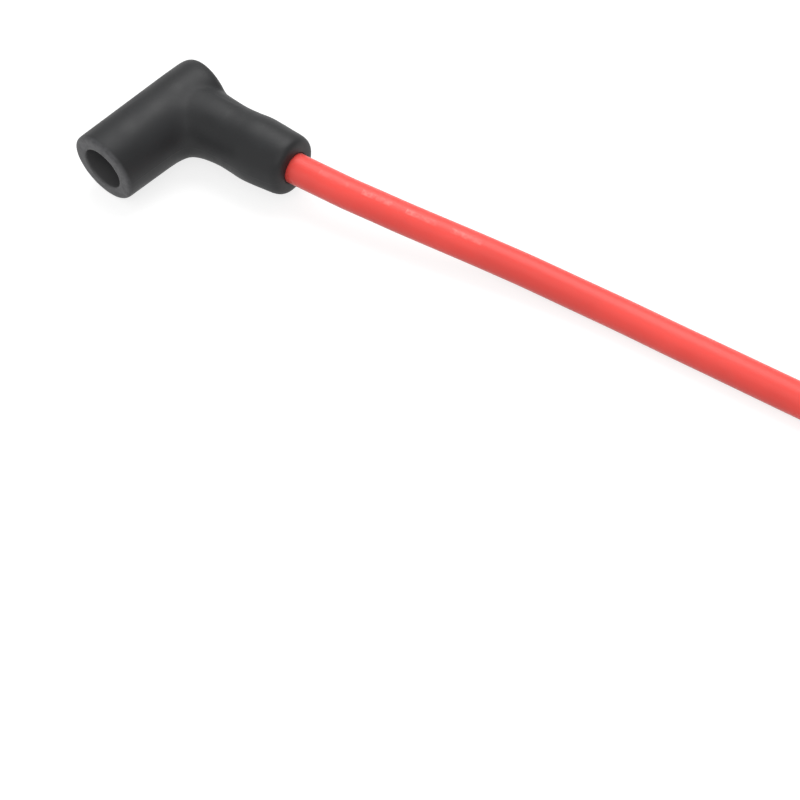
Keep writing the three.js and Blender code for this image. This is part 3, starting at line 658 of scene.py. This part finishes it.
# The steps of the boot's field. Its origin is at the elbow, and its mouth is towards -Y.
BOOT_STEPS = [
    # Socket arm: it leans a little and is slimmer at its mouth. Its mouth and its closed end
    # are cut a little aslant.
    ("socket x", "MULTIPLY_ADD", "y", 0.034, "x"),
    ("socket off", "LENGTH", "socket x", "z"),
    ("share of socket", "DIVIDE", "y", "Socket length"),
    ("taper", "MINIMUM", "share of socket", 0.0),
    ("slimming", "SUBTRACT", "Socket radius", "Mouth radius"),
    ("socket radius", "MULTIPLY_ADD", "taper", "slimming", "Socket radius"),
    ("socket side", "SUBTRACT", "socket off", "socket radius"),
    ("back cut", "MULTIPLY_ADD", "x", 0.08, "y"),
    ("back", "SUBTRACT", "back cut", "Socket back"),
    ("mouth reach", "ADD", "Socket length", 0.6 * MM),
    ("from mouth", "ADD", "y", "mouth reach"),
    ("mouth cut", "MULTIPLY", "x", 0.065),
    ("mouth tilt", "MULTIPLY_ADD", "z", -0.05, "mouth cut"),
    ("mouth", "SUBTRACT", "mouth tilt", "from mouth"),
    ("socket walls", "SMOOTH_MAX", "socket side", "back", 5.9 * MM),
    ("socket", "SMOOTH_MAX", "socket walls", "mouth", 1.7 * MM),
    # Cable arm: its root, waist, swell and lip are a curve of radius against length
    ("cosine", "COSINE", "Arm lean"),
    ("sine", "SINE", "Arm lean"),
    ("x along", "MULTIPLY", "x", "cosine"),
    ("along", "MULTIPLY_ADD", "y", "sine", "x along"),
    ("x across", "MULTIPLY", "x", "sine"),
    ("y across", "MULTIPLY", "y", "cosine"),
    ("across", "SUBTRACT", "y across", "x across"),
    ("share of arm", "DIVIDE", "along", "Arm length"),
    ("rest of arm", "SUBTRACT", 1.0, "share of arm"),
    ("arm bow", "MULTIPLY", "share of arm", "rest of arm"),
    ("bowed across", "MULTIPLY_ADD", "arm bow", 1.3 * MM, "across"),
    ("arm off", "LENGTH", "bowed across", "z"),
    ("profile", "PROFILE", "share of arm"),
    ("arm radius", "MULTIPLY", "profile", ARM_PROFILE_SCALE * MM),
    ("arm side", "SUBTRACT", "arm off", "arm radius"),
    ("arm end", "SUBTRACT", "along", "Arm length"),
    ("arm walls", "SMOOTH_MAX", "arm side", "arm end", 4.2 * MM),
    ("before elbow", "MULTIPLY", "along", -1.0),
    ("arm", "MAXIMUM", "arm walls", "before elbow"),
    # Inside of the bend: part of a torus, whose ends and outer side lie inside the arms
    ("sweep", "SUBTRACT", math.pi / 2, "Arm lean"),
    ("half sweep", "MULTIPLY", "sweep", 0.5),
    ("half tangent", "TANGENT", "half sweep"),
    ("reach", "MULTIPLY", "Bend radius", "half tangent"),
    ("bend x", "SUBTRACT", "x", "Bend radius"),
    ("bend y", "ADD", "y", "reach"),
    ("ring", "LENGTH", "bend x", "bend y"),
    ("outward", "MULTIPLY", "bend x", -1.0),
    ("turned", "ARCTAN2", "bend y", "outward"),
    ("share of bend", "DIVIDE", "turned", "sweep"),
    ("rest of bend", "SUBTRACT", 1.0, "share of bend"),
    ("bulge", "MULTIPLY", "share of bend", "rest of bend"),
    ("narrowing", "SUBTRACT", "Bend end radius", "Bend start radius"),
    ("bend core", "MULTIPLY_ADD", "share of bend", "narrowing", "Bend start radius"),
    ("bend thickness", "MULTIPLY_ADD", "bulge", "Bend swell", "bend core"),
    ("off ring", "SUBTRACT", "ring", "Bend radius"),
    ("bend off", "LENGTH", "off ring", "z"),
    ("bend side", "SUBTRACT", "bend off", "bend thickness"),
    ("outer half", "SUBTRACT", "off ring", 2 * MM),
    ("bend inner", "MAXIMUM", "bend side", "outer half"),
    ("before bend", "MULTIPLY", "bend y", -1.0),
    ("bend from socket", "MAXIMUM", "bend inner", "before bend"),
    ("past bend", "SUBTRACT", "along", "reach"),
    ("bend", "MAXIMUM", "bend from socket", "past bend"),
    ("arms", "SMOOTH_MIN", "socket", "arm", 1.0 * MM),
    ("outside", "SMOOTH_MIN", "arms", "bend", 2.4 * MM),
    # Bores: the plug's, the terminal's and the wire's
    ("bore end", "SUBTRACT", "Plug bore depth", "Socket length"),
    ("past bore", "SUBTRACT", "y", "bore end"),
    ("plug bore side", "SUBTRACT", "socket off", "Plug bore"),
    ("plug bore", "MAXIMUM", "plug bore side", "past bore"),
    ("past terminal", "SUBTRACT", "y", "Terminal bore"),
    ("terminal side", "SUBTRACT", "socket off", "Terminal bore"),
    ("terminal bore", "MAXIMUM", "terminal side", "past terminal"),
    # The plug's and the terminal's bores, whose walls get painted light
    ("bores painted pale", "MINIMUM", "plug bore", "terminal bore"),
    ("straight off", "LENGTH", "across", "z"),
    ("crimp side", "SUBTRACT", "straight off", "Terminal bore"),
    ("past crimp", "SUBTRACT", "along", "Crimp bore depth"),
    ("crimp length", "MAXIMUM", "past crimp", "before elbow"),
    ("crimp bore", "MAXIMUM", "crimp side", "crimp length"),
    ("wire side", "SUBTRACT", "straight off", "Wire bore"),
    ("wire bore", "MAXIMUM", "wire side", "before elbow"),
    ("arm bores", "MINIMUM", "crimp bore", "wire bore"),
    ("bores", "MINIMUM", "bores painted pale", "arm bores"),
    ("walls", "MULTIPLY", "bores", -1.0),
    ("body", "SMOOTH_MAX", "outside", "walls", 0.6 * MM),
    # The volume holds millimetres inside the surface, and whole numbers of cells
    ("density", "MULTIPLY", "body", -1 / MM),
]
for axis, low, high in zip("XYZ", BOOT_FIELD_LOW, BOOT_FIELD_HIGH):
    BOOT_STEPS.append((f"span {axis}", "DIVIDE", high - low, "Voxel"))
    BOOT_STEPS.append((f"cells {axis}", "ROUND", f"span {axis}"))


def make_plug_boot(settings, material):
    """Makes the right-angle boot in place."""
    piece = new_object("plug_boot_body", [(0, 0, 0)], [], material)
    sizes = {**BOOT_INPUTS, "Voxel": settings.fineness, "Material": material}
    use_tree(piece, boot_tree(), sizes)
    to_plain_mesh(piece)
    return place_mesh(piece, Matrix.Translation(ELBOW))


# Straight boot

# Places along the straight boot from its wire end, the radii of its bore, and how far its
# corners are cut back, in millimetres
CAP_LENGTH = 62.0
CAP_STEP = 42.0
CAP_CRIMP = 17.8
CAP_BORE = 6.8
CAP_NARROW = 5.45
CAP_ROUNDING = 1.3


def cap_outline():
    """Lists the section of the straight boot as (radius, distance from its wire end) in mm."""
    outside = [(4.0, 0.9), (4.5, 0.0), (7.2, 0.0), (7.2, 6.5)]
    for rib in range(3):
        foot = 7.2 + 0.37 * rib
        middle = 9.0 + 5.0 * rib
        outside += [(foot, middle - 1.5), (foot + 1.1, middle - 0.5), (foot + 1.1, middle + 0.5)]
        outside += [(foot + 0.3, middle + 1.5)]
    outside += [(8.3, 24.0), (8.3, 30.0), (8.6, 32.6), (9.7, 36.4), (10.0, 39.0)]
    outside += [(10.0, CAP_LENGTH)]
    inside = [(CAP_BORE, CAP_LENGTH), (CAP_BORE, CAP_STEP), (CAP_NARROW, CAP_STEP)]
    inside += [(CAP_NARROW, CAP_CRIMP), (4.0, CAP_CRIMP)]
    return rounded([*outside, *inside, (4.0, 0.9)], CAP_ROUNDING)[:-1]


def make_cap_boot(settings, material):
    """Makes the straight boot in place."""
    outline = [(radius * MM, height * MM) for radius, height in cap_outline()]
    piece = revolved("cap_boot_body", outline, settings.sides, material)
    stored = piece.data.attributes.new("rim_bore", "FLOAT_VECTOR", "POINT")
    for vertex, value in zip(piece.data.vertices, stored.data):
        height = vertex.co.z / MM
        in_bore = height > CAP_CRIMP and vertex.co.xy.length / MM < CAP_BORE + 0.2
        # worn is the share of the rim's painted highlight, in_bore that of the bore's painted
        # light
        worn = ease(height, *(CAP_LENGTH - inward for inward in RIM_HIGHLIGHT_SPAN))
        value.vector = (worn, float(in_bore), 0)
    turn = Matrix.Rotation(math.pi / 2, 4, "Y")
    place = Matrix.Translation((CAP_LOW.x, CAP_AXIS.y, CAP_AXIS.z))
    return place_mesh(piece, place @ turn)


# Tie

# Sizes of the tie in millimetres. Its origin is the middle between the two turns that it
# holds, with X pointing away from the coil's centre.
WIRE_RADIUS = 4.0
STRAP_WIDTH = 4.4
STRAP_THICKNESS = 1.2
STRAP_CORNER = 0.3
STRAP_GAP = 0.05
HEAD_WIDTH = 6.4
HEAD_HEIGHT = 6.0
HEAD_DEPTH = 3.6
HEAD_CORNER = 0.9
SLOT_ROOM = 0.3
TAIL_END = 16.6
HALF_TURN_STEPS = 12


def rounded_box(width, height, corner, steps=4):
    """Lists the points of a rectangle with round corners, the same number for any size."""
    points = []
    for quarter in range(4):
        side_x = 1 if quarter in (0, 3) else -1
        side_y = 1 if quarter in (0, 1) else -1
        for i in range(steps + 1):
            angle = math.pi / 2 * (quarter + i / steps)
            x = side_x * (width / 2 - corner) + corner * math.cos(angle)
            y = side_y * (height / 2 - corner) + corner * math.sin(angle)
            points.append((x, y))
    return points


def joined_rings(rings, closed):
    """Gives the points and faces of a skin over rings that have the same number of points."""
    count = len(rings[0])
    faces = []
    for i in range(len(rings) if closed else len(rings) - 1):
        near, far = i * count, (i + 1) % len(rings) * count
        for j in range(count):
            k = (j + 1) % count
            faces.append((near + j, near + k, far + k, far + j))
    if not closed:
        last = (len(rings) - 1) * count
        faces.append(tuple(range(count - 1, -1, -1)))
        faces.append(tuple(range(last, last + count)))
    return [point for ring in rings for point in ring], faces


def tie_parts():
    """Gives the points and faces of the tie's loop, head and tail."""
    # Loop: the strap's section, carried round both wires
    middle = WIRE_RADIUS + STRAP_GAP + STRAP_THICKNESS / 2
    section = rounded_box(STRAP_THICKNESS, STRAP_WIDTH, STRAP_CORNER)
    loop = []
    for side in (1, -1):
        for i in range(HALF_TURN_STEPS + 1):
            angle = math.pi * (i / HALF_TURN_STEPS - 0.5) + (0 if side > 0 else math.pi)
            x, z = math.cos(angle), math.sin(angle)
            ring = [(middle + a, b) for a, b in section]
            loop.append([(side * WIRE_RADIUS + x * out, b, z * out) for out, b in ring])
    # Head: a block with a slot through it, with its outer edges rounded off
    head_middle = 2 * WIRE_RADIUS + STRAP_GAP + STRAP_THICKNESS / 2 + HEAD_DEPTH / 2
    outer = rounded_box(HEAD_WIDTH, HEAD_HEIGHT, HEAD_CORNER)
    slot = rounded_box(STRAP_WIDTH + SLOT_ROOM, STRAP_THICKNESS + SLOT_ROOM, STRAP_CORNER)
    half = HEAD_DEPTH / 2
    steps = [(-half, 0), (-half, 0.8), (-half + 0.12, 0.93), (-half + 0.4, 1)]
    steps += [(-x, share) for x, share in reversed(steps)]
    head = []
    for (y0, z0), (y1, z1) in zip(slot, outer):
        wall = [(x, y0 + (y1 - y0) * share, z0 + (z1 - z0) * share) for x, share in steps]
        head.append([(head_middle + x, y, z) for x, y, z in wall])
    # Tail: it passes through the slot, and its tip narrows
    tail = []
    for x, narrow in ((head_middle - half + 0.2, 1), (TAIL_END - 1, 1), (TAIL_END, 0.8)):
        tail.append([(x, b * narrow, a) for a, b in section])
    return [joined_rings(loop, True), joined_rings(head, True), joined_rings(tail, False)]


def tie_tree():
    """Builds the node tree that sets the ratchet teeth along the tie's tail."""
    sizes = ("Pitch", "First tooth", "Tooth size", "Tooth width")
    inputs = [("Geometry", "Geometry"), ("Teeth", "Int"), *((size, "Float") for size in sizes)]
    tree, given = new_tree("tie_teeth", inputs)
    values = {"X": given["First tooth"], "Z": STRAP_THICKNESS / 2 * MM}
    start = add_node(tree, "ShaderNodeCombineXYZ", values).outputs[0]
    step = add_node(tree, "ShaderNodeCombineXYZ", {"X": given["Pitch"]}).outputs[0]
    values = {"Count": given["Teeth"], "Start Location": start, "Offset": step}
    line = add_node(tree, "GeometryNodeMeshLine", values)
    # A three-sided bar across the strap, with one corner up
    values = {"Vertices": 3, "Radius": given["Tooth size"], "Depth": given["Tooth width"]}
    tooth = add_node(tree, "GeometryNodeMeshCylinder", values)
    values = {"Points": line.outputs[0], "Instance": tooth.outputs[0]}
    values["Rotation"] = (math.pi / 2, 0, 0)
    teeth = add_node(tree, "GeometryNodeInstanceOnPoints", values)
    both = add_node(tree, "GeometryNodeJoinGeometry", {0: teeth.outputs[0]})
    tree.links.new(given["Geometry"], both.inputs[0])
    return end_tree(tree, both.outputs[0], given["Material"])


def make_tie(settings, material):
    """Makes the tie round two turns of the coil, in place."""
    vertices, faces = [], []
    for points, skin in tie_parts():
        faces += [tuple(len(vertices) + i for i in face) for face in skin]
        vertices += points
    piece = new_object("coil_tie_strap", [Vector(p) * MM for p in vertices], faces, material)
    shell = bmesh.new()
    shell.from_mesh(piece.data)
    bmesh.ops.recalc_face_normals(shell, faces=shell.faces)
    shell.to_mesh(piece.data)
    shell.free()
    values = {
        "Teeth": settings.teeth,
        "Pitch": 0.8 * MM,
        "First tooth": (2 * WIRE_RADIUS + HEAD_DEPTH + 1.3) * MM,
        "Tooth size": 0.36 * MM,
        "Tooth width": 3 * MM,
        "Material": material,
    }
    use_tree(piece, tie_tree(), values)
    to_plain_mesh(piece)
    middle = COIL_CENTRE.x + (COIL_RADIUS + COIL_INNER) / 2 * MM
    return place_mesh(piece, Matrix.Translation((middle, COIL_CENTRE.y, (REST + TIE_LIFT) * MM)))


# Settings that a user would change


def colour_setting(name, thing, hex_colour):
    """Makes a setting for the colour of one thing."""
    return FloatVectorProperty(
        name=name, description=f"Colour of {thing}", default=srgb(hex_colour), subtype="COLOR"
    )


def measure_setting(name, description, default, subtype="DISTANCE", unit="LENGTH"):
    """Makes a setting for a length, or for a measure of another kind."""
    return FloatProperty(
        name=name, description=description, default=default, subtype=subtype, unit=unit
    )


class LeadWireSettings(bpy.types.PropertyGroup):
    """Sizes and colours of the wire"""

    diameter: measure_setting("Diameter", "Outside width of the wire", 8 * MM)
    sides: IntProperty(name="Sides", description="Faces round the wire", default=40, min=12)
    colour: colour_setting("Colour", "the silicone", "#F7524A")
    print_colour: colour_setting("Print colour", "the worn dashes", "#F2B9B2")


class LeadBootSettings(bpy.types.PropertyGroup):
    """Sizes and colours of the two boots"""

    fineness: measure_setting(
        "Fineness", "Width of one cell of the right-angle boot's field", 0.3 * MM
    )
    sides: IntProperty(
        name="Sides", description="Faces round the straight boot", default=96, min=24
    )
    colour: colour_setting("Colour", "the rubber", "#191A1C")


class LeadHardwareSettings(bpy.types.PropertyGroup):
    """Colours of the terminals, their springs and the tie"""

    terminal_colour: colour_setting("Terminal colour", "the stamped terminals", "#C4C3BF")
    spring_colour: colour_setting("Spring colour", "the spring wires", "#A9ABAE")
    teeth: IntProperty(
        name="Teeth", description="Ratchet teeth on the tie's tail", default=5, min=0
    )
    tie_colour: colour_setting("Tie colour", "the coil's tie", "#232325")


ANGLE = ("ANGLE", "ROTATION")


class LeadStudioSettings(bpy.types.PropertyGroup):
    """Camera, floor and lamps"""

    azimuth: measure_setting(
        "Azimuth", "Turn of the camera about the vertical", math.radians(42.57), *ANGLE
    )
    pitch: measure_setting("Pitch", "How far the camera looks down", math.radians(54.0), *ANGLE)
    focal_length: measure_setting(
        "Focal length", "Focal length for a 36 mm sensor", 67.5, "DISTANCE_CAMERA", "CAMERA"
    )
    floor_colour: colour_setting("Floor colour", "the floor", "#A0A0A0")


# The camera's place from the elbow in plan and its height, fitted to the photo
CAMERA_X = 235.4 * MM
CAMERA_Y = -174.0 * MM
CAMERA_HEIGHT = 278.2 * MM


def make_camera(settings):
    """Makes the camera at the photo's viewing angle."""
    data = bpy.data.cameras.new("camera")
    data.lens = settings.focal_length
    data.sensor_width = 36
    data.clip_start = 0.01
    camera = link_new("camera", data)
    camera.location = (ELBOW.x + CAMERA_X, ELBOW.y + CAMERA_Y, CAMERA_HEIGHT)
    camera.rotation_euler = (math.pi / 2 - settings.pitch, 0, settings.azimuth)
    bpy.context.scene.camera = camera


def make_lamp(name, place, aim, size, power):
    """Makes one soft square lamp that faces a point."""
    data = bpy.data.lights.new(name, "AREA")
    data.shape = "SQUARE"
    data.size = size
    data.energy = power
    lamp = link_new(name, data)
    lamp.location = place
    lamp.rotation_euler = (Vector(place) - Vector(aim)).to_track_quat("Z", "Y").to_euler()


def floor_material(colour):
    """White studio paper: matt, and lifted towards white where a camera sees it."""
    material, tree = new_material("white_paper")
    path = add_node(tree, "ShaderNodeLightPath").outputs
    known = {"camera": path["Is Camera Ray"], "glossy": path["Is Glossy Ray"]}
    work_out(tree, known, FLOOR_STEPS)
    looks = {
        "Base Color": (*colour, 1),
        "Roughness": 1.0,
        "Specular IOR Level": 0.0,
        "Emission Color": (1, 1, 1, 1),
        "Emission Strength": known["lift"],
    }
    return end_material(material, looks)


# How far the floor's look is lifted and by which steps, half the floor's width in metres, and
# the lamps: name, place, point that it faces, width and power
FLOOR_LIFT = 0.765
FLOOR_STEPS = [
    ("seen", "MAXIMUM", "camera", "glossy"),
    ("lift", "MULTIPLY", "seen", FLOOR_LIFT),
]
FLOOR_HALF = 6.0
LAMPS = [
    ("top_lamp", (-0.17, 0.33, 0.72), (0.06, 0.02, 0), 0.6, 4.1),
    ("side_lamp", (0.45, -0.4, 0.68), (0.06, 0.02, 0), 0.6, 1.5),
    ("front_lamp", (-0.3, -0.7, 0.3), (0.0, 0.0, 0), 0.5, 0.6),
]


def make_world():
    """Makes the studio's even light, and the white that the camera sees behind the floor."""
    world = bpy.data.worlds.new("studio")
    world.use_nodes = True
    tree = world.node_tree
    tree.nodes.clear()
    path = add_node(tree, "ShaderNodeLightPath").outputs
    even = add_node(tree, "ShaderNodeBackground", {"Color": (1, 1, 1, 1), "Strength": 0.6})
    white = add_node(tree, "ShaderNodeBackground", {"Color": (1, 1, 1, 1), "Strength": 1.0})
    values = {0: path["Is Camera Ray"], 1: even.outputs[0], 2: white.outputs[0]}
    mix = add_node(tree, "ShaderNodeMixShader", values)
    add_node(tree, "ShaderNodeOutputWorld", {"Surface": mix.outputs[0]})
    bpy.context.scene.world = world


class LeadMakeStage(bpy.types.Operator):
    """Make the camera, the floor, the lamps and the world"""

    bl_idname = "ignition_lead.make_stage"
    bl_label = "Make stage"

    def execute(self, context):
        settings = context.scene.lead_studio
        make_camera(settings)
        signs = ((-1, -1), (1, -1), (1, 1), (-1, 1))
        corners = [(x * FLOOR_HALF, y * FLOOR_HALF, 0) for x, y in signs]
        material = floor_material(settings.floor_colour)
        floor = new_object("floor", corners, [(0, 1, 2, 3)], material, smooth=False)
        for lamp in LAMPS:
            make_lamp(*lamp)
        make_world()
        context.scene.view_settings.view_transform = "Standard"
        return {"FINISHED"}


class LeadMakeWire(bpy.types.Operator):
    """Make the red wire along its route and round its coil"""

    bl_idname = "ignition_lead.make_wire"
    bl_label = "Make wire"

    def execute(self, context):
        settings = context.scene.lead_wire
        material = extruded_silicone("red_silicone", settings.colour, settings.print_colour)
        wire, line, length = make_wire(settings, material)
        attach(wire, "root")
        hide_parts("wire_lead", "wire_coil", "wire_tail")
        return {"FINISHED"}


class LeadMakeBoots(bpy.types.Operator):
    """Make the right-angle boot and the straight boot"""

    bl_idname = "ignition_lead.make_boots"
    bl_label = "Make boots"

    def execute(self, context):
        settings = context.scene.lead_boots
        plug_rubber = moulded_rubber("epdm_rubber", settings.colour, AXIS_HEIGHT)
        cap_rubber = moulded_rubber("epdm_rubber_cap", settings.colour, CAP_AXIS.z)
        plug_boot = make_plug_boot(settings, plug_rubber)
        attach(plug_boot, "root")
        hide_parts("plug_boot")
        cap_boot = make_cap_boot(settings, cap_rubber)
        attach(cap_boot, "root")
        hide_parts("cap_boot")
        return {"FINISHED"}


class LeadMakeTie(bpy.types.Operator):
    """Make the tie that holds the coil"""

    bl_idname = "ignition_lead.make_tie"
    bl_label = "Make tie"

    def execute(self, context):
        settings = context.scene.lead_hardware
        tie = make_tie(settings, moulded_nylon("black_nylon", settings.tie_colour))
        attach(tie, "root")
        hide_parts("coil_tie")
        return {"FINISHED"}


class LeadFinishTerminals(bpy.types.Operator):
    """Give the terminals and their springs their finishes"""

    bl_idname = "ignition_lead.finish_terminals"
    bl_label = "Finish terminals"

    def execute(self, context):
        settings = context.scene.lead_hardware
        steel = plated_steel("plated_strip_steel", settings.terminal_colour, 0.34)
        spring = plated_steel("drawn_spring_steel", settings.spring_colour, 0.3)
        for end in ("plug", "cap"):
            for kind, finish in (("terminal", steel), ("terminal_spring", spring)):
                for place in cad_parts[f"{end}_{kind}"].material_slots:
                    place.material = finish
        return {"FINISHED"}


class LeadPanel(bpy.types.Panel):
    """Lists the steps that build the lead"""

    bl_idname = "VIEW3D_PT_ignition_lead"
    bl_label = "Ignition lead"
    bl_space_type = "VIEW_3D"
    bl_region_type = "UI"
    bl_category = "Ignition lead"

    def draw(self, context):
        for operator in OPERATORS:
            self.layout.operator(operator.bl_idname)


SETTINGS = {
    "lead_wire": LeadWireSettings,
    "lead_boots": LeadBootSettings,
    "lead_hardware": LeadHardwareSettings,
    "lead_studio": LeadStudioSettings,
}
OPERATORS = (LeadMakeStage, LeadMakeBoots, LeadMakeTie, LeadMakeWire, LeadFinishTerminals)


def register():
    for name, group in SETTINGS.items():
        bpy.utils.register_class(group)
        setattr(bpy.types.Scene, name, PointerProperty(type=group))
    for kind in (*OPERATORS, LeadPanel):
        bpy.utils.register_class(kind)


def unregister():
    for kind in reversed((*OPERATORS, LeadPanel)):
        bpy.utils.unregister_class(kind)
    for name, group in SETTINGS.items():
        delattr(bpy.types.Scene, name)
        bpy.utils.unregister_class(group)


def main():
    register()
    bpy.ops.ignition_lead.make_stage()
    bpy.ops.ignition_lead.make_boots()
    bpy.ops.ignition_lead.make_tie()
    bpy.ops.ignition_lead.make_wire()
    bpy.ops.ignition_lead.finish_terminals()


if __name__ == "__main__":
    main()
